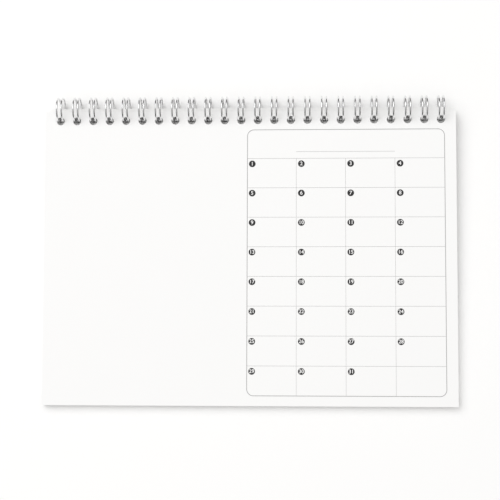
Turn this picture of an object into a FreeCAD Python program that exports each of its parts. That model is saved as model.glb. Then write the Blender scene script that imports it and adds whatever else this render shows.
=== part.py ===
import FreeCAD, Part
import math
import os

import Sketcher

os.makedirs("parts", exist_ok=True)
document = FreeCAD.newDocument("calendar")

# Sizes in millimetres and degrees.
# The calendar lies on its back: +X along the binding, +Y towards the binding, +Z up.
sizes = document.addObject("Spreadsheet::Sheet", "sizes")
DRIVING = {
    # paper and card
    "leaf_width": 210,
    "leaf_length": 150,
    "leaf_thickness": 0.2,
    "leaf_count": 13,
    "board_thickness": 1.2,
    "board_corner": 4,
    # punching
    "hole_pitch": 8.4667,
    "hole_inset": 4.75,
    "board_hole_inset": 5.3,
    "hole_side_margin": 5.5,
    "hole_clearance": 0.3,
    # twin loop wire
    "wire_diameter": 0.9,
    "loop_diameter": 12.7,
    "twin_spacing": 2.4,
    "root_bend": 1,
    "tip_setback": 1.5,
    "seat_angle": 42.7,
    "seam_clearance": 0.15,
    # how the leaves lie on the board and in the loops
    "edge_gap": 0.05,
    "leaf_hang": 0.35,
    # printed table
    "ink_thickness": 0.05,
    "frame_line": 0.35,
    "row_line": 0.15,
    "column_line": 0.13,
    "column_width": 25,
    "column_count": 4,
    "row_height": 15.05,
    "row_count": 8,
    "header_height": 14.7,
    "table_side_margin": 5.8,
    "table_foot_margin": 5,
    "table_corner": 3.5,
    "rule_rise": 3.45,
    "rule_line": 0.15,
    "rule_columns": 2,
    "dot_diameter": 3.4,
    "dot_inset": 2.65,
    "day_count": 31,
}
DERIVED = {
    "pad_thickness": "leaf_count * leaf_thickness",
    "wire_radius": "wire_diameter / 2",
    "seam_gap": "wire_diameter + 2 * seam_clearance",
    "hole_reach": "leaf_length - hole_inset",
    "board_hole_reach": "leaf_length - board_hole_inset",
    # as many holes as fit between the side margins
    "hole_count": "floor((leaf_width - 2 * hole_side_margin) / hole_pitch) + 1",
    "hole_start": "(leaf_width - (hole_count - 1) * hole_pitch) / 2",
    # the loops' centre line, and how high their centre is over the board's back
    "loop_outer": "loop_diameter / 2",
    "loop_middle": "loop_outer - wire_radius",
    "centre_rise": "loop_middle * sin(seat_angle) + board_thickness / 2",
    # where the loops pass through the board
    "board_cross_back": "sqrt(loop_middle ^ 2 - centre_rise ^ 2)",
    "board_cross_front": "sqrt(loop_middle ^ 2 - (centre_rise - board_thickness) ^ 2)",
    "board_cross": "(board_cross_back + board_cross_front) / 2",
    "board_drift": "(board_cross_front - board_cross_back) / 2",
    # where the loops pass through the leaves
    "leaf_drop": "centre_rise - board_thickness - seam_gap",
    "leaf_cross_back": "sqrt(loop_middle ^ 2 - leaf_drop ^ 2)",
    "leaf_cross": "(leaf_cross_back + loop_middle) / 2 + leaf_hang",
    "leaf_drift": "(loop_middle - leaf_cross_back) / 2 + leaf_hang",
    "hole_drift": "max(board_drift; leaf_drift)",
    "hole_radius": "sqrt((twin_spacing / 2) ^ 2 + hole_drift ^ 2) + wire_radius + hole_clearance",
    # the loops and the board's free edge both touch the table, so the board leans
    "centre_reach": "board_hole_reach + board_cross",
    "centre_span": "sqrt(centre_reach ^ 2 + centre_rise ^ 2)",
    "lean": "asin(loop_outer / centre_span) - atan(centre_rise / centre_reach)",
    "wedge": "asin((seam_gap - edge_gap) / hole_reach)",
    "pad_angle": "lean + wedge",
    # the pad's lower back edge, from the board's lower back edge
    "pad_start": "centre_reach - leaf_cross - hole_reach * cos(wedge)",
    "pad_rise": "board_thickness + edge_gap",
    "pad_shift": "pad_start * cos(lean) - pad_rise * sin(lean)",
    "pad_height": "pad_start * sin(lean) + pad_rise * cos(lean)",
    "centre_shift": "centre_reach * cos(lean) - centre_rise * sin(lean)",
    # the origin is under the middle of the whole
    "far_edge": "centre_shift + loop_outer",
    "near_edge": "pad_shift - pad_thickness * sin(pad_angle)",
    "board_place": "-(far_edge + near_edge) / 2",
    "pad_place": "board_place + pad_shift",
    "centre_place": "board_place + centre_shift",
    "left_place": "-leaf_width / 2",
    # the printed table
    "table_width": "column_count * column_width + frame_line",
    "table_height": "header_height + row_count * row_height + frame_line",
    "table_left": "leaf_width - table_side_margin - table_width",
    "table_inner_corner": "table_corner - frame_line",
    "table_head": "table_foot_margin + row_count * row_height",
    "rule_left": "table_left + (column_count - rule_columns) / 2 * column_width",
}


def fill_sheet():
    row = 1
    for name, value in DRIVING.items():
        sizes.set(f"A{row}", name)
        sizes.set(f"B{row}", str(value))
        sizes.setAlias(f"B{row}", name)
        row += 1
    for name, formula in DERIVED.items():
        sizes.set(f"A{row}", name)
        sizes.set(f"B{row}", "=" + formula)
        sizes.setAlias(f"B{row}", name)
        row += 1
    document.recompute()


def size(name):
    value = sizes.get(name)
    return float(getattr(value, "Value", value))


def with_sheet(formula):
    """A formula of size names, written for use outside the sheet."""
    words = formula.replace("(", " ( ").replace(")", " ) ").split()
    known = set(DRIVING) | set(DERIVED)
    return " ".join(f"sizes.{word}" if word in known else word for word in words)


def bind(item, **formulas):
    for path, formula in formulas.items():
        item.setExpression(path.replace("__", "."), with_sheet(formula))


def place(item, x="0", y="0", z="0"):
    """Binds a piece's place, unturned."""
    bind(item, Placement__Base__x=x, Placement__Base__y=y, Placement__Base__z=z)


def place_leaning(item, y, z, angle):
    """Binds a sheet's place: left edge, height and lean about the X axis."""
    turn = FreeCAD.Rotation(FreeCAD.Vector(1, 0, 0), 1)
    item.Placement = FreeCAD.Placement(FreeCAD.Vector(0, 0, 0), turn)
    place(item, "left_place", y, z)
    bind(item, Placement__Rotation__Angle=angle)


def new_body(name):
    body = document.addObject("PartDesign::Body", name)
    body.Label = name
    return body


def new_sketch(body, name):
    sketch = body.newObject("Sketcher::SketchObject", name)
    planes = body.Origin.OriginFeatures
    sketch.AttachmentSupport = [(next(item for item in planes if item.Role == "XY_Plane"), "")]
    sketch.MapMode = "FlatFace"
    return sketch


def named_distance(sketch, kind, name, *points):
    """A dimension whose value is bound afterwards by its name."""
    index = sketch.addConstraint(Sketcher.Constraint(kind, *points, 1.0))
    sketch.renameConstraint(index, name)


def rectangle_plate(body, name, width, length, thickness):
    """A flat plate with its lower left corner at the body's origin."""
    sketch = new_sketch(body, name + "_outline")
    corners = [FreeCAD.Vector(*point, 0) for point in ((0, 0), (9, 0), (9, 9), (0, 9))]
    for index in range(4):
        sketch.addGeometry(Part.LineSegment(corners[index], corners[(index + 1) % 4]))
    for index in range(4):
        sketch.addConstraint(Sketcher.Constraint("Coincident", index, 2, (index + 1) % 4, 1))
    for index in (0, 2):
        sketch.addConstraint(Sketcher.Constraint("Horizontal", index))
        sketch.addConstraint(Sketcher.Constraint("Vertical", index + 1))
    sketch.addConstraint(Sketcher.Constraint("Coincident", 0, 1, -1, 1))
    named_distance(sketch, "DistanceX", "width", 0, 1, 0, 2)
    named_distance(sketch, "DistanceY", "length", 1, 1, 1, 2)
    bind(sketch, Constraints__width=width, Constraints__length=length)
    plate = body.newObject("PartDesign::Pad", name + "_plate")
    plate.Profile = sketch
    bind(plate, Length=thickness)
    document.recompute()
    return plate


def round_corners(body, name, plate, radius):
    """Rounds a plate's four upright edges."""
    upright = [
        f"Edge{index}"
        for index, edge in enumerate(plate.Shape.Edges, 1)
        if abs(edge.tangentAt(edge.FirstParameter).z) > 0.9
    ]
    rounding = body.newObject("PartDesign::Fillet", name + "_corners")
    rounding.Base = (plate, upright)
    bind(rounding, Radius=radius)
    document.recompute()


def punch_row(body, name, reach):
    """Punches the row of round holes along the bound edge."""
    sketch = new_sketch(body, name + "_first_hole")
    sketch.addGeometry(Part.Circle(FreeCAD.Vector(5, 5, 0), FreeCAD.Vector(0, 0, 1), 2))
    named_distance(sketch, "Radius", "radius", 0)
    named_distance(sketch, "DistanceX", "across", -1, 1, 0, 3)
    named_distance(sketch, "DistanceY", "along", -1, 1, 0, 3)
    bind(
        sketch,
        Constraints__radius="hole_radius",
        Constraints__across="hole_start",
        Constraints__along=reach,
    )
    before = body.Shape.Volume
    hole = body.newObject("PartDesign::Pocket", name + "_hole")
    hole.Profile = sketch
    hole.Type = "ThroughAll"
    hole.Reversed = True
    document.recompute()
    row = body.newObject("PartDesign::LinearPattern", name + "_hole_row")
    row.Originals = [hole]
    row.Direction = (sketch, ["H_Axis"])
    bind(row, Length="hole_pitch * (hole_count - 1)", Occurrences="hole_count")
    body.Tip = row
    document.recompute()
    return before - body.Shape.Volume


def make_board():
    body = new_body("back_board")
    plate = rectangle_plate(body, "board", "leaf_width", "leaf_length", "board_thickness")
    round_corners(body, "board", plate, "board_corner")
    punched = punch_row(body, "board", "board_hole_reach")
    place_leaning(body, "board_place", "0", "lean")
    return body, punched / size("board_thickness")


def make_pad():
    body = new_body("month_sheets")
    rectangle_plate(body, "pad", "leaf_width", "leaf_length", "pad_thickness")
    punched = punch_row(body, "pad", "hole_reach")
    place_leaning(body, "pad_place", "pad_height", "pad_angle")
    return body, punched / size("pad_thickness")


def loop_point(x, angle):
    """A point of a loop's centre line, angle in radians up from the side facing the leaves."""
    radius = size("loop_middle")
    return FreeCAD.Vector(x, -radius * math.cos(angle), radius * math.sin(angle))


def loop_tangent(angle):
    return FreeCAD.Vector(0, math.sin(angle), math.cos(angle))


def wire_path():
    """One continuous comb: root bend, loop, closed tip, loop, root bend, and a straight to the next."""
    radius = size("loop_middle")
    bend = size("root_bend")
    half = size("twin_spacing") / 2
    aside = FreeCAD.Vector(1, 0, 0)

    # the straights lie midway in the gap between the board and the leaves
    seam_drop = size("leaf_drop") + size("seam_gap") / 2
    root = math.atan(bend / radius) - math.asin(seam_drop / math.hypot(radius, bend))
    tip = root + 2 * math.pi - (bend + size("tip_setback")) / radius
    top = (root + tip) / 2
    rise = loop_tangent(root)
    reach = loop_tangent(tip)
    diagonal = math.sqrt(0.5)

    edges = []
    count = round(size("hole_count"))
    previous = None
    for index in range(count):
        middle = (index - (count - 1) / 2) * size("hole_pitch")
        left = loop_point(middle - half, root)
        right = loop_point(middle + half, root)
        left_centre = left - aside * bend
        right_centre = right + aside * bend
        start = left_centre - rise * bend
        end = right_centre - rise * bend
        if previous is not None:
            edges.append(Part.LineSegment(previous, start).toShape())
        left_bend = left_centre + (aside - rise) * bend * diagonal
        right_bend = right_centre - (aside + rise) * bend * diagonal
        tip_left = loop_point(middle - half, tip)
        tip_right = loop_point(middle + half, tip)
        tip_end = loop_point(middle, tip) + reach * half
        edges.append(Part.Arc(start, left_bend, left).toShape())
        edges.append(Part.Arc(left, loop_point(middle - half, top), tip_left).toShape())
        edges.append(Part.Arc(tip_left, tip_end, tip_right).toShape())
        edges.append(Part.Arc(tip_right, loop_point(middle + half, top), right).toShape())
        edges.append(Part.Arc(right, right_bend, end).toShape())
        previous = end
    return Part.Wire(edges)


def make_wire():
    """Sweeps the round wire along its path."""
    path = wire_path()
    first = path.OrderedEdges[0]
    start = first.valueAt(first.FirstParameter)
    ahead = first.tangentAt(first.FirstParameter)
    circle = Part.Circle(start, ahead, size("wire_radius"))
    section = Part.Wire([circle.toShape()])
    wire = document.addObject("Part::Feature", "twin_loop_wire")
    wire.Label = "twin_loop_wire"
    wire.Shape = path.makePipeShell([section], True, False)
    lean = FreeCAD.Rotation(FreeCAD.Vector(1, 0, 0), size("lean"))
    centre = FreeCAD.Vector(0, size("centre_place"), size("loop_outer"))
    wire.Placement = FreeCAD.Placement(centre, lean)
    section_area = math.pi * size("wire_radius") ** 2
    return wire, path.Length * section_area


def ink_bar(name, x, y, width, length):
    """A printed line on the top leaf."""
    bar = document.addObject("Part::Box", name)
    bind(bar, Length=width, Width=length, Height="ink_thickness")
    place(bar, x, y, "pad_thickness")
    return bar


def rounded_field(name, x, y, width, length, radius):
    body = new_body(name)
    plate = rectangle_plate(body, name, width, length, "ink_thickness")
    round_corners(body, name, plate, radius)
    place(body, x, y, "pad_thickness")
    return body


def make_table():
    """The empty ruled table: a rounded frame, a header, four columns and eight rows."""
    outside = rounded_field(
        "frame_outside", "table_left", "table_foot_margin", "table_width", "table_height", "table_corner"
    )
    inside = rounded_field(
        "frame_inside",
        "table_left + frame_line",
        "table_foot_margin + frame_line",
        "table_width - 2 * frame_line",
        "table_height - 2 * frame_line",
        "table_inner_corner",
    )
    frame = document.addObject("Part::Cut", "table_frame")
    frame.Base = outside
    frame.Tool = inside
    marks = [frame]
    for index in range(round(size("row_count"))):
        marks.append(
            ink_bar(
                f"row_line_{index + 1}",
                "table_left",
                f"table_foot_margin + {index + 1} * row_height",
                "table_width",
                "row_line",
            )
        )
    for index in range(1, round(size("column_count"))):
        marks.append(
            ink_bar(
                f"column_line_{index}",
                f"table_left + {index} * column_width",
                "table_foot_margin",
                "column_line",
                "row_count * row_height",
            )
        )
    marks.append(
        ink_bar(
            "header_rule",
            "rule_left",
            "table_head + rule_rise",
            "rule_columns * column_width",
            "rule_line",
        )
    )
    table = document.addObject("Part::MultiFuse", "printed_table")
    table.Shapes = marks
    table.Label = "printed_table"
    place_leaning(table, "pad_place", "pad_height", "pad_angle")
    return table


def make_dots():
    """One round dot for each day, at the upper left of its cell, filling the rows in order."""
    dots = []
    columns = round(size("column_count"))
    for day in range(round(size("day_count"))):
        row, column = divmod(day, columns)
        dot = document.addObject("Part::Cylinder", f"dot_{day + 1}")
        bind(dot, Radius="dot_diameter / 2", Height="ink_thickness")
        place(
            dot,
            f"table_left + {column} * column_width + dot_inset",
            f"table_head - {row} * row_height - dot_inset",
            "pad_thickness",
        )
        dots.append(dot)
    group = document.addObject("Part::MultiFuse", "date_dots")
    group.Shapes = dots
    group.Label = "date_dots"
    place_leaning(group, "pad_place", "pad_height", "pad_angle")
    return group


def require(condition, message):
    if not condition:
        raise RuntimeError(message)


def check_pieces(pieces, board_punched, pad_punched, wire_volume):
    for item in document.Objects:
        faults = {"Invalid", "Error"} & set(item.State)
        require(not faults, f"{item.Name} failed: {item.State}")
    for piece in pieces:
        require(not piece.Shape.isNull() and piece.Shape.isValid(), f"{piece.Label} has no valid shape")
    hole_area = math.pi * size("hole_radius") ** 2 * size("hole_count")
    require(abs(board_punched - hole_area) < 0.01 * hole_area, "the board's holes are not all cut")
    require(abs(pad_punched - hole_area) < 0.01 * hole_area, "the leaves' holes are not all cut")
    wire = next(piece for piece in pieces if piece.Label == "twin_loop_wire")
    difference = abs(wire.Shape.Volume - wire_volume)
    require(difference < 0.005 * wire_volume, "the wire's volume differs from its section times its length")


fill_sheet()
board, board_punched = make_board()
pad, pad_punched = make_pad()
wire, wire_volume = make_wire()
table = make_table()
dots = make_dots()
document.recompute()

pieces = [board, pad, wire, table, dots]
check_pieces(pieces, board_punched, pad_punched, wire_volume)
for piece in pieces:
    piece.Shape.exportStep(f"parts/{piece.Label}.step")
    print(piece.Label, "solids", len(piece.Shape.Solids), "volume", round(piece.Shape.Volume, 2))
for name in ("lean", "wedge", "hole_radius", "centre_place", "centre_rise", "board_place", "pad_place"):
    print(name, round(size(name), 4))
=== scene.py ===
import math

import bpy
import numpy as np
from bpy.props import FloatProperty, FloatVectorProperty, IntProperty, PointerProperty
from mathutils import Euler, Matrix, Vector


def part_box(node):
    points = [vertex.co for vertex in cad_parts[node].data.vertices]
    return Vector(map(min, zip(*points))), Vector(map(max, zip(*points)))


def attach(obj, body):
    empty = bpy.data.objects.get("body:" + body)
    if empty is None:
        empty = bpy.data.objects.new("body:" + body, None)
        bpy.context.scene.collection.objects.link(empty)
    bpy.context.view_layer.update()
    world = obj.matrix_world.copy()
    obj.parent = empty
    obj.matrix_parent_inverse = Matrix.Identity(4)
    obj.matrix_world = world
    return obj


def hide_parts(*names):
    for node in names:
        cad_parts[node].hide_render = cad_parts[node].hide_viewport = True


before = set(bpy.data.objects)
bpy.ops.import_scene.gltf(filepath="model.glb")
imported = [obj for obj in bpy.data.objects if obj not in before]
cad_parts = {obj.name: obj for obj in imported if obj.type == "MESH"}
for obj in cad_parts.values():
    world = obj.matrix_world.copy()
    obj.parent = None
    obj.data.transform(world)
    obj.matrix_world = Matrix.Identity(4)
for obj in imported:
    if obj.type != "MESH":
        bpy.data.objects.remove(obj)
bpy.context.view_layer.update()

bl_info = {
    "name": "Wire-bound Calendar",
    "version": (1, 0, 0),
    "blender": (4, 5, 0),
    "location": "View3D > Sidebar > Calendar",
    "description": "Dresses a wire-bound calendar pad: leaves, twin loop wire, print and light",
    "category": "Object",
}

MM = 0.001

# Noise scales of the finishes, in cells per metre
PULP_CLOUDS = 45.0
PAPER_FIBRES = 1400.0
INK_FIBRES = 2600.0
PLATE_CLOUDS = 300.0
DRAWN_MARKS = 4000.0

# Gloss and tooth of the finishes
MATT_SPECULAR = 0.25
PAPER_TOOTH = 0.03 * MM
INK_TOOTH = 0.02 * MM
WIRE_TOOTH = 0.01 * MM

# Steps of the curved shapes
HOLE_SIDES = 32
LOOP_STEPS = 56
TIP_STEPS = 14
BEND_STEPS = 6

# The numerals' outline growth, their relief, and their lift above the dots
NUMERAL_GROWTH = 0.04 * MM
NUMERAL_RELIEF = 0.004 * MM
NUMERAL_LIFT = 0.006 * MM

# The stage
SENSOR_WIDTH = 36
CLIP_START = 10 * MM
FLOOR_SIZE = 6
FLOOR_COLOUR = (0.95, 0.95, 0.95, 1)
WHITE = (1, 1, 1, 1)
WALL_COLOUR = (0.10, 0.10, 0.10)
SKY_COLOUR = (1.0, 0.992, 0.978)
MIRRORED_WALL = (0.01, 0.01, 0.01)
MIRRORED_CEILING = (1.0, 1.0, 0.99)
MIRRORED_STRENGTH = 0.6


# Places taken from the frame

def sheet_tilt(node, length, thickness):
    """How far a flat sheet leans about the X axis, from its box and its own two sizes."""
    low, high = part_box(node)
    rise = high.z - low.z
    return math.asin(rise / math.hypot(length, thickness)) - math.atan(thickness / length)


def page_place(props):
    """The pad's own frame: its lower left corner on the back face, leaning as the pad does."""
    low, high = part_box("month_sheets")
    length = props.leaf_length
    thickness = props.leaf_count * props.leaf_pitch
    tilt = sheet_tilt("month_sheets", length, thickness)
    corner = Vector((low.x, high.y - length * math.cos(tilt), low.z))
    return Matrix.Translation(corner) @ Matrix.Rotation(tilt, 4, "X")


def loop_place(paper, wire):
    """The binding's own frame: the middle of the loops, leaning as the board does."""
    low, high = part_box("twin_loop_wire")
    radius = wire.loop_diameter / 2
    lean = sheet_tilt("back_board", paper.leaf_length, paper.board_thickness)
    centre = Vector(((low.x + high.x) / 2, high.y - radius, low.z + radius))
    return Matrix.Translation(centre) @ Matrix.Rotation(lean, 4, "X")


# Sizes and colours that a user would change

class CalendarPaper(bpy.types.PropertyGroup):
    leaf_count: IntProperty(
        name="Leaves", description="Number of leaves in the pad",
        default=13, min=1,
    )
    leaf_pitch: FloatProperty(
        name="Leaf pitch", description="Pad thickness for each leaf",
        default=0.2 * MM, unit="LENGTH", precision=6,
    )
    leaf_thickness: FloatProperty(
        name="Leaf thickness", description="Thickness of one leaf",
        default=0.17 * MM, unit="LENGTH", precision=6,
    )
    leaf_width: FloatProperty(
        name="Width", description="Leaf width",
        default=210 * MM, unit="LENGTH",
    )
    leaf_length: FloatProperty(
        name="Length", description="Leaf length",
        default=150 * MM, unit="LENGTH",
    )
    board_thickness: FloatProperty(
        name="Board", description="Thickness of the back board", default=1.2 * MM, unit="LENGTH"
    )
    hole_diameter: FloatProperty(
        name="Hole", description="Diameter of the punched holes", default=4.15 * MM, unit="LENGTH"
    )
    hole_inset: FloatProperty(
        name="Hole inset", description="Hole centre to the bound edge",
        default=4.75 * MM, unit="LENGTH",
    )
    stray: FloatProperty(
        name="Stray", description="How far a leaf lies out of line",
        default=0.12 * MM, unit="LENGTH", precision=6,
    )
    fan: FloatProperty(
        name="Fan", description="How far the lowest leaf reaches past the top one",
        default=0.25 * MM, unit="LENGTH",
        precision=6,
    )
    paper_colour: FloatVectorProperty(
        name="Paper", description="Colour of the leaves",
        subtype="COLOR", default=(0.925, 0.925, 0.925), max=1,
    )
    card_colour: FloatVectorProperty(
        name="Card", description="Colour of the back board",
        subtype="COLOR", default=(0.93, 0.93, 0.925), max=1,
    )


class CalendarWire(bpy.types.PropertyGroup):
    wire_diameter: FloatProperty(
        name="Wire", description="Wire diameter",
        default=0.9 * MM, unit="LENGTH",
    )
    loop_diameter: FloatProperty(
        name="Loop", description="Outside diameter of a closed loop",
        default=12.7 * MM, unit="LENGTH",
    )
    loop_count: IntProperty(name="Loops", description="Number of twin loops", default=24, min=2)
    pitch: FloatProperty(
        name="Pitch", description="Distance from loop to loop",
        default=8.4667 * MM, unit="LENGTH", precision=6,
    )
    twin_spacing: FloatProperty(
        name="Twin spacing", description="Distance between a loop's two wires",
        default=2.4 * MM, unit="LENGTH",
    )
    root_bend: FloatProperty(
        name="Root bend", description="Radius of the bend at a loop's root",
        default=1 * MM, unit="LENGTH",
    )
    tip_setback: FloatProperty(
        name="Tip setback", description="Closed tip's bend behind the straights",
        default=1.5 * MM, unit="LENGTH",
    )
    seam_drop: FloatProperty(
        name="Seam drop", description="The straights below the loops' centre",
        default=2.8 * MM, unit="LENGTH",
    )
    sides: IntProperty(name="Sides", description="Faces around the wire", default=12, min=6)
    metal_colour: FloatVectorProperty(
        name="Metal", description="Colour of the plated wire",
        subtype="COLOR", default=(0.86, 0.86, 0.865), max=1,
    )


class CalendarPrint(bpy.types.PropertyGroup):
    day_count: IntProperty(name="Days", description="Number of days", default=31, min=1)
    columns: IntProperty(name="Columns", description="Days in a row", default=4, min=1)
    column_width: FloatProperty(
        name="Column", description="Column width",
        default=25 * MM, unit="LENGTH",
    )
    row_height: FloatProperty(
        name="Row", description="Row height",
        default=15.05 * MM, unit="LENGTH",
    )
    dot_diameter: FloatProperty(
        name="Dot", description="Day dot diameter",
        default=3.4 * MM, unit="LENGTH",
    )
    ink_thickness: FloatProperty(
        name="Ink", description="Thickness of the printed skins",
        default=0.05 * MM, unit="LENGTH", precision=6,
    )
    numeral_size: FloatProperty(
        name="Numeral", description="Type size of the day numerals",
        default=2.65 * MM, unit="LENGTH",
    )
    line_colour: FloatVectorProperty(
        name="Lines", description="Colour of the ruled lines",
        subtype="COLOR", default=(0.40, 0.40, 0.40), max=1,
    )
    dot_colour: FloatVectorProperty(
        name="Dots", description="Colour of the day dots",
        subtype="COLOR", default=(0.025, 0.025, 0.026), max=1,
    )


class CalendarStage(bpy.types.PropertyGroup):
    camera_place: FloatVectorProperty(
        name="Camera", description="Camera from the top leaf's lower left corner",
        subtype="XYZ", unit="LENGTH",
        default=(140.3 * MM, 21.5 * MM, 667.1 * MM),
    )
    camera_turn: FloatVectorProperty(
        name="Camera turn", description="Camera turn against the top leaf, in degrees",
        default=(4.902, 2.971, 0.194),
    )
    lens: FloatProperty(name="Lens", description="Focal length in millimetres", default=95.2)
    key_power: FloatProperty(
        name="Key", description="Power of the soft key light in watts",
        default=35,
    )
    key_size: FloatProperty(
        name="Key size", description="Diameter of the key light",
        default=2.6, unit="LENGTH",
    )
    key_place: FloatVectorProperty(
        name="Key place", description="Place of the key light", subtype="XYZ", unit="LENGTH",
        default=(-1.1, 1.0, 2.2),
    )
    sky_strength: FloatProperty(
        name="Sky", description="Strength of the light all round",
        default=0.82,
    )


GROUPS = {
    "calendar_paper": CalendarPaper,
    "calendar_wire": CalendarWire,
    "calendar_print": CalendarPrint,
    "calendar_stage": CalendarStage,
}


# Shader nodes

class Value:
    """A number socket that takes part in plain arithmetic."""

    def __init__(self, shader, socket):
        self.shader = shader
        self.socket = socket

    def maths(self, operation, first, second):
        outputs = self.shader.node("ShaderNodeMath", {"operation": operation}, {0: first, 1: second})
        return Value(self.shader, outputs[0])

    def __add__(self, other):
        return self.maths("ADD", self, other)

    def __radd__(self, other):
        return self.maths("ADD", other, self)

    def __sub__(self, other):
        return self.maths("SUBTRACT", self, other)

    def __rsub__(self, other):
        return self.maths("SUBTRACT", other, self)

    def __mul__(self, other):
        return self.maths("MULTIPLY", self, other)

    def __rmul__(self, other):
        return self.maths("MULTIPLY", other, self)

    def clamped(self):
        return Value(self.shader, self.shader.node("ShaderNodeClamp", {}, {0: self})[0])


class Shader:
    """Builds one material's nodes."""

    def __init__(self, tree):
        self.tree = tree
        self.tree.nodes.clear()

    def node(self, kind, settings, inputs):
        made = self.tree.nodes.new(kind)
        for name, value in settings.items():
            setattr(made, name, value)
        for name, value in inputs.items():
            if isinstance(value, Value):
                value = value.socket
            if isinstance(value, bpy.types.NodeSocket):
                self.tree.links.new(value, made.inputs[name])
            else:
                made.inputs[name].default_value = value
        return made.outputs

    def place(self):
        return self.node("ShaderNodeTexCoord", {}, {})["Object"]

    def noise(self, place, scale, detail=2.0):
        outputs = self.node(
            "ShaderNodeTexNoise", {}, {"Vector": place, "Scale": scale, "Detail": detail}
        )
        return Value(self, outputs["Fac"])

    def blend(self, factor, first, second):
        outputs = self.node(
            "ShaderNodeMix", {"data_type": "RGBA"}, {0: factor, 6: (*first, 1), 7: (*second, 1)}
        )
        return outputs[2]

    def bump(self, height, strength, distance):
        return self.node(
            "ShaderNodeBump", {}, {"Strength": strength, "Distance": distance, "Height": height}
        )["Normal"]

    def finish(self, inputs):
        surface = self.node("ShaderNodeBsdfPrincipled", {}, inputs)
        self.node("ShaderNodeOutputMaterial", {}, {"Surface": surface[0]})


def new_material(name):
    material = bpy.data.materials.new(name)
    material.use_nodes = True
    return material, Shader(material.node_tree)


def tinted(colour, factor):
    return tuple(min(1.0, channel * factor) for channel in colour)


def paper_material(name, colour, cloud=0.985, fibre_bump=0.25):
    """Uncoated stock: faint clouding of the pulp, fine fibres and a matt tooth."""
    material, shader = new_material(name)
    place = shader.place()
    clouds = shader.noise(place, PULP_CLOUDS, 3.0)
    fibres = shader.noise(place, PAPER_FIBRES, 4.0)
    pulp = (clouds * 0.6 + fibres * 0.4).clamped()
    shader.finish(
        {
            "Base Color": shader.blend(pulp, tinted(colour, cloud), colour),
            "Roughness": 0.82 + fibres * 0.1,
            "Specular IOR Level": MATT_SPECULAR,
            "Normal": shader.bump(fibres, fibre_bump, PAPER_TOOTH),
        }
    )
    return material


def ink_material(name, colour, show_through):
    """Matt print whose cover is a little uneven where it sinks into the fibres."""
    material, shader = new_material(name)
    place = shader.place()
    fibres = shader.noise(place, INK_FIBRES, 3.0)
    lighter = tuple(channel + (1 - channel) * show_through for channel in colour)
    shader.finish(
        {
            "Base Color": shader.blend(fibres, colour, lighter),
            "Roughness": 0.7 + fibres * 0.15,
            "Specular IOR Level": MATT_SPECULAR,
            "Normal": shader.bump(fibres, 0.15, INK_TOOTH),
        }
    )
    return material


def metal_material(name, colour):
    """Bright nickel plate over drawn wire: nearly smooth, with faint clouding."""
    material, shader = new_material(name)
    place = shader.place()
    clouds = shader.noise(place, PLATE_CLOUDS)
    drawn = shader.noise(place, DRAWN_MARKS)
    shader.finish(
        {
            "Base Color": shader.blend(clouds, tinted(colour, 0.93), colour),
            "Metallic": 1.0,
            "Roughness": 0.08 + clouds * 0.06,
            "Normal": shader.bump(drawn, 0.06, WIRE_TOOTH),
        }
    )
    return material


# Modelling helpers

def deselect_all():
    if bpy.context.mode != "OBJECT":
        bpy.ops.object.mode_set(mode="OBJECT")
    bpy.ops.object.select_all(action="DESELECT")


def select_only(piece):
    deselect_all()
    piece.select_set(True)
    bpy.context.view_layer.objects.active = piece


def apply_modifier(piece, kind, **settings):
    select_only(piece)
    modifier = piece.modifiers.new(kind.title(), kind)
    for name, value in settings.items():
        setattr(modifier, name, value)
    bpy.ops.object.modifier_apply(modifier=modifier.name)


def settle(piece, place):
    """Moves a piece to its place and leaves its object at the origin."""
    piece.matrix_world = place @ piece.matrix_world
    select_only(piece)
    bpy.ops.object.transform_apply(location=True, rotation=True, scale=True)


def join(pieces, name):
    select_only(pieces[0])
    for piece in pieces[1:]:
        piece.select_set(True)
    if len(pieces) > 1:
        bpy.ops.object.join()
    joined = bpy.context.view_layer.objects.active
    joined.name = name
    joined.data.name = name
    return joined


def dress(piece, material):
    piece.data.materials.clear()
    piece.data.materials.append(material)


def copy_of(piece):
    copied = piece.copy()
    copied.data = piece.data.copy()
    bpy.context.scene.collection.objects.link(copied)
    return copied


# The leaves

def punched_leaf(paper, wire):
    """One leaf with its row of round holes, narrower than the pad by the stray at each side."""
    deselect_all()
    width, length, thickness = paper.leaf_width, paper.leaf_length, paper.leaf_thickness
    bpy.ops.mesh.primitive_plane_add(size=1, location=(width / 2, length / 2, 0))
    leaf = bpy.context.object
    leaf.scale = (width - 2 * paper.stray, length, 1)
    bpy.ops.object.transform_apply(location=True, rotation=True, scale=True)
    bpy.ops.object.mode_set(mode="EDIT")
    bpy.ops.mesh.select_all(action="SELECT")
    bpy.ops.mesh.extrude_region_move(TRANSFORM_OT_translate={"value": (0, 0, thickness)})
    bpy.ops.mesh.select_all(action="SELECT")
    bpy.ops.mesh.normals_make_consistent(inside=False)
    bpy.ops.object.mode_set(mode="OBJECT")

    deselect_all()
    first_hole = (width - (wire.loop_count - 1) * wire.pitch) / 2
    bpy.ops.mesh.primitive_cylinder_add(
        vertices=HOLE_SIDES,
        radius=paper.hole_diameter / 2,
        depth=thickness * 6,
        location=(first_hole, length - paper.hole_inset, thickness / 2),
    )
    punch = bpy.context.object
    bpy.ops.object.transform_apply(location=True, rotation=True, scale=True)
    apply_modifier(
        punch,
        "ARRAY",
        count=wire.loop_count,
        use_relative_offset=False,
        use_constant_offset=True,
        constant_offset_displace=(wire.pitch, 0, 0),
    )
    apply_modifier(leaf, "BOOLEAN", operation="DIFFERENCE", object=punch, solver="EXACT")
    bpy.data.objects.remove(punch)
    return leaf


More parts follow.
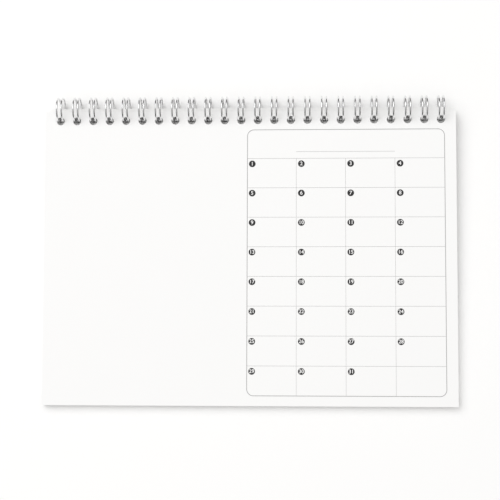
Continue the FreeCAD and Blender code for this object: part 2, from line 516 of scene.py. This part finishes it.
class CALENDAR_OT_add_leaves(bpy.types.Operator):
    """Adds the pad as separate punched leaves, each a little out of line"""

    bl_idname = "calendar.add_leaves"
    bl_label = "Add Leaves"
    bl_options = {"REGISTER", "UNDO"}

    def execute(self, context):
        paper = context.scene.calendar_paper
        wire = context.scene.calendar_wire
        model = punched_leaf(paper, wire)
        strays = np.random.default_rng(7).uniform(-1, 1, (paper.leaf_count, 2))
        leaves = []
        for index in range(paper.leaf_count):
            # 0 for the top leaf, which lies true, and 1 for the lowest
            depth = (paper.leaf_count - 1 - index) / max(1, paper.leaf_count - 1)
            stray = strays[index] * paper.stray * min(1.0, depth * 4)
            leaf = copy_of(model)
            raised = index * paper.leaf_pitch + paper.leaf_pitch - paper.leaf_thickness
            leaf.location = (stray[0], abs(stray[1]) + paper.fan * depth, raised)
            leaves.append(leaf)
        bpy.data.objects.remove(model)
        pad = join(leaves, "calendar_leaves")
        settle(pad, page_place(paper))
        dress(pad, paper_material("uncoated_paper", paper.paper_colour))
        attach(pad, "pages")
        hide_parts("month_sheets")
        return {"FINISHED"}


# The twin loop wire

def extrude_along(offset):
    bpy.ops.mesh.extrude_region_move(TRANSFORM_OT_translate={"value": offset})


def spin_round(centre, axis, angle, steps):
    """Sweeps the open end counterclockwise about the axis: a negative angle to the spin tool."""
    bpy.ops.mesh.spin(steps=steps, angle=-angle, center=centre, axis=axis, use_auto_merge=False)


def wire_period(wire):
    """One twin loop with half a straight at each side, the loops' centre at the origin."""
    deselect_all()
    radius = (wire.loop_diameter - wire.wire_diameter) / 2
    half = wire.twin_spacing / 2
    bend = wire.root_bend
    root = math.atan(bend / radius) - math.asin(wire.seam_drop / math.hypot(radius, bend))
    tip = root + 2 * math.pi - (bend + wire.tip_setback) / radius
    aside = Vector((1, 0, 0))
    root_point = Vector((0, -radius * math.cos(root), radius * math.sin(root)))
    tip_point = Vector((0, -radius * math.cos(tip), radius * math.sin(tip)))
    rise = Vector((0, math.sin(root), math.cos(root)))
    reach = Vector((0, math.sin(tip), math.cos(tip)))
    straight = wire.pitch / 2 - half - bend

    start = root_point - rise * bend - aside * (wire.pitch / 2)
    bpy.ops.mesh.primitive_circle_add(
        vertices=wire.sides,
        radius=wire.wire_diameter / 2,
        location=start,
        rotation=(0, math.pi / 2, 0),
    )
    piece = bpy.context.object
    bpy.ops.object.transform_apply(location=True, rotation=True, scale=True)
    bpy.ops.object.mode_set(mode="EDIT")
    bpy.ops.mesh.select_all(action="SELECT")
    extrude_along(aside * straight)
    turn = aside.cross(rise)
    spin_round(root_point - aside * (half + bend), turn, math.pi / 2, BEND_STEPS)
    spin_round((0, 0, 0), -aside, tip - root, LOOP_STEPS)
    spin_round(tip_point, -aside.cross(reach), math.pi, TIP_STEPS)
    spin_round((0, 0, 0), aside, tip - root, LOOP_STEPS)
    spin_round(root_point + aside * (half + bend), turn, math.pi / 2, BEND_STEPS)
    extrude_along(aside * straight)
    bpy.ops.object.mode_set(mode="OBJECT")
    return piece


def trim_end(side, place):
    """Cuts the comb square at one end and closes the cut."""
    bpy.ops.mesh.select_all(action="SELECT")
    bpy.ops.mesh.bisect(
        plane_co=(side * place, 0, 0), plane_no=(side, 0, 0), use_fill=True, clear_outer=True
    )


class CALENDAR_OT_add_wire(bpy.types.Operator):
    """Adds the binding's twin loop wire as one continuous comb"""

    bl_idname = "calendar.add_wire"
    bl_label = "Add Twin Loop Wire"
    bl_options = {"REGISTER", "UNDO"}

    def execute(self, context):
        paper = context.scene.calendar_paper
        wire = context.scene.calendar_wire
        comb = wire_period(wire)
        comb.location.x = -(wire.loop_count - 1) / 2 * wire.pitch
        select_only(comb)
        bpy.ops.object.transform_apply(location=True, rotation=True, scale=True)
        apply_modifier(
            comb,
            "ARRAY",
            count=wire.loop_count,
            use_relative_offset=False,
            use_constant_offset=True,
            constant_offset_displace=(wire.pitch, 0, 0),
            use_merge_vertices=True,
            merge_threshold=0.01 * MM,
        )
        select_only(comb)
        bpy.ops.object.mode_set(mode="EDIT")
        end = (wire.loop_count - 1) / 2 * wire.pitch + wire.twin_spacing / 2 + wire.root_bend
        trim_end(1, end)
        trim_end(-1, end)
        bpy.ops.mesh.select_all(action="SELECT")
        bpy.ops.mesh.remove_doubles(threshold=0.001 * MM)
        bpy.ops.mesh.normals_make_consistent(inside=False)
        bpy.ops.object.mode_set(mode="OBJECT")
        comb.name = "calendar_wire"
        comb.data.name = "calendar_wire"
        settle(comb, loop_place(paper, wire))
        bpy.ops.object.shade_smooth_by_angle(angle=math.radians(50))
        dress(comb, metal_material("plated_wire", wire.metal_colour))
        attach(comb, "binding")
        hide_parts("twin_loop_wire")
        return {"FINISHED"}


# The print

def dot_centre(props, place, day):
    """A day dot's centre on the page, from the box of all the dots."""
    low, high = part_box("date_dots")
    radius = props.dot_diameter / 2
    back = place.inverted()
    left = (back @ low).x + radius
    top = (back @ high).y - radius
    row, column = divmod(day, props.columns)
    return left + column * props.column_width, top - row * props.row_height


class CALENDAR_OT_add_numerals(bpy.types.Operator):
    """Adds the white day numerals on the printed dots"""

    bl_idname = "calendar.add_numerals"
    bl_label = "Add Day Numerals"
    bl_options = {"REGISTER", "UNDO"}

    def execute(self, context):
        paper = context.scene.calendar_paper
        props = context.scene.calendar_print
        place = page_place(paper)
        face = paper.leaf_count * paper.leaf_pitch + props.ink_thickness
        numerals = []
        for day in range(props.day_count):
            across, along = dot_centre(props, place, day)
            deselect_all()
            bpy.ops.object.text_add()
            numeral = bpy.context.object
            numeral.data.body = str(day + 1)
            numeral.data.size = props.numeral_size
            numeral.data.align_x = "CENTER"
            numeral.data.align_y = "CENTER"
            numeral.data.offset = NUMERAL_GROWTH
            numeral.data.extrude = NUMERAL_RELIEF
            bpy.ops.object.convert(target="MESH")
            numeral = bpy.context.object
            numeral.location = (across, along, face + NUMERAL_LIFT)
            numerals.append(numeral)
        page_numerals = join(numerals, "day_numerals")
        bpy.ops.object.transform_apply(location=True, rotation=True, scale=True)
        settle(page_numerals, place)
        dress(page_numerals, paper_material("numeral_white", paper.paper_colour))
        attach(page_numerals, "pages")
        return {"FINISHED"}


class CALENDAR_OT_finish_print(bpy.types.Operator):
    """Gives the ruled table and the day dots their inks"""

    bl_idname = "calendar.finish_print"
    bl_label = "Finish Print"
    bl_options = {"REGISTER", "UNDO"}

    def execute(self, context):
        props = context.scene.calendar_print
        line_ink = ink_material("light_grey_ink", props.line_colour, 0.12)
        dress(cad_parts["printed_table"], line_ink)
        dot_ink = ink_material("dark_grey_ink", props.dot_colour, 0.02)
        dress(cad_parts["date_dots"], dot_ink)
        return {"FINISHED"}


class CALENDAR_OT_finish_board(bpy.types.Operator):
    """Gives the back board its card finish"""

    bl_idname = "calendar.finish_board"
    bl_label = "Finish Board"
    bl_options = {"REGISTER", "UNDO"}

    def execute(self, context):
        paper = context.scene.calendar_paper
        card = paper_material("white_card", paper.card_colour, 0.975, 0.5)
        dress(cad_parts["back_board"], card)
        return {"FINISHED"}


# Camera, light and floor

def add_camera(props, place, face):
    data = bpy.data.cameras.new("camera")
    data.lens = props.lens
    data.sensor_width = SENSOR_WIDTH
    data.clip_start = CLIP_START
    camera = bpy.data.objects.new("camera", data)
    bpy.context.scene.collection.objects.link(camera)
    turn = Euler([math.radians(angle) for angle in props.camera_turn], "XYZ").to_matrix().to_4x4()
    page = place @ Matrix.Translation((0, 0, face))
    camera.matrix_world = page @ Matrix.Translation(props.camera_place) @ turn
    bpy.context.scene.camera = camera


def add_key_light(props):
    """A large soft light, high up behind the calendar's left side."""
    data = bpy.data.lights.new("key_light", "AREA")
    data.shape = "DISK"
    data.size = props.key_size
    data.energy = props.key_power
    light = bpy.data.objects.new("key_light", data)
    bpy.context.scene.collection.objects.link(light)
    place = Vector(props.key_place)
    aim = place.to_track_quat("Z", "Y").to_matrix().to_4x4()
    light.matrix_world = Matrix.Translation(place) @ aim


def floor_material():
    """Matt white floor, which keeps the object's shadow."""
    material, shader = new_material("white_floor")
    matt = shader.node("ShaderNodeBsdfDiffuse", {}, {"Color": FLOOR_COLOUR})
    shader.node("ShaderNodeOutputMaterial", {}, {"Surface": matt[0]})
    return material


def add_floor():
    deselect_all()
    bpy.ops.mesh.primitive_plane_add(size=FLOOR_SIZE, location=(0, 0, 0))
    floor = bpy.context.object
    floor.name = "floor"
    bpy.ops.object.transform_apply(location=True, rotation=True, scale=True)
    dress(floor, floor_material())


def add_sky(props):
    """Soft light from above. The wire mirrors a white ceiling over dark walls."""
    world = bpy.data.worlds.new("studio")
    world.use_nodes = True
    bpy.context.scene.world = world
    shader = Shader(world.node_tree)
    direction = shader.node("ShaderNodeTexCoord", {}, {})["Generated"]
    height = Value(shader, shader.node("ShaderNodeSeparateXYZ", {}, {0: direction})["Z"])
    rays = shader.node("ShaderNodeLightPath", {}, {})
    sky = shader.blend((height * 1.6).clamped(), WALL_COLOUR, SKY_COLOUR)
    ceiling = shader.blend(((height - 0.3) * 2.0).clamped(), MIRRORED_WALL, MIRRORED_CEILING)

    def background(colour, strength):
        return shader.node("ShaderNodeBackground", {}, {"Color": colour, "Strength": strength})[0]

    def choose(ray, otherwise, then):
        return shader.node("ShaderNodeMixShader", {}, {0: rays[ray], 1: otherwise, 2: then})[0]

    light = background(sky, props.sky_strength)
    mirrored = background(ceiling, MIRRORED_STRENGTH)
    surface = choose("Is Glossy Ray", light, mirrored)
    surface = choose("Is Camera Ray", surface, background(WHITE, 1.0))
    shader.node("ShaderNodeOutputWorld", {}, {"Surface": surface})


class CALENDAR_OT_add_stage(bpy.types.Operator):
    """Adds the floor, the soft light and the camera"""

    bl_idname = "calendar.add_stage"
    bl_label = "Add Stage"
    bl_options = {"REGISTER", "UNDO"}

    def execute(self, context):
        paper = context.scene.calendar_paper
        props = context.scene.calendar_stage
        context.scene.view_settings.view_transform = "Standard"
        add_floor()
        add_sky(props)
        add_key_light(props)
        add_camera(props, page_place(paper), paper.leaf_count * paper.leaf_pitch)
        return {"FINISHED"}


STEPS = (
    CALENDAR_OT_add_leaves,
    CALENDAR_OT_add_wire,
    CALENDAR_OT_finish_board,
    CALENDAR_OT_finish_print,
    CALENDAR_OT_add_numerals,
    CALENDAR_OT_add_stage,
)


class CALENDAR_PT_build(bpy.types.Panel):
    """Lists the steps and their sizes"""

    bl_label = "Calendar"
    bl_idname = "CALENDAR_PT_build"
    bl_space_type = "VIEW_3D"
    bl_region_type = "UI"
    bl_category = "Calendar"

    def draw(self, context):
        column = self.layout.column()
        for step in STEPS:
            column.operator(step.bl_idname)
        for name, group in GROUPS.items():
            for size in group.__annotations__:
                column.prop(getattr(context.scene, name), size)


CLASSES = (*GROUPS.values(), *STEPS, CALENDAR_PT_build)


def register():
    for item in CLASSES:
        bpy.utils.register_class(item)
    for name, group in GROUPS.items():
        setattr(bpy.types.Scene, name, PointerProperty(type=group))


def unregister():
    for name in GROUPS:
        delattr(bpy.types.Scene, name)
    for item in reversed(CLASSES):
        bpy.utils.unregister_class(item)


def main():
    register()
    for step in STEPS:
        group, name = step.bl_idname.split(".")
        getattr(getattr(bpy.ops, group), name)()


if __name__ == "__main__":
    main()
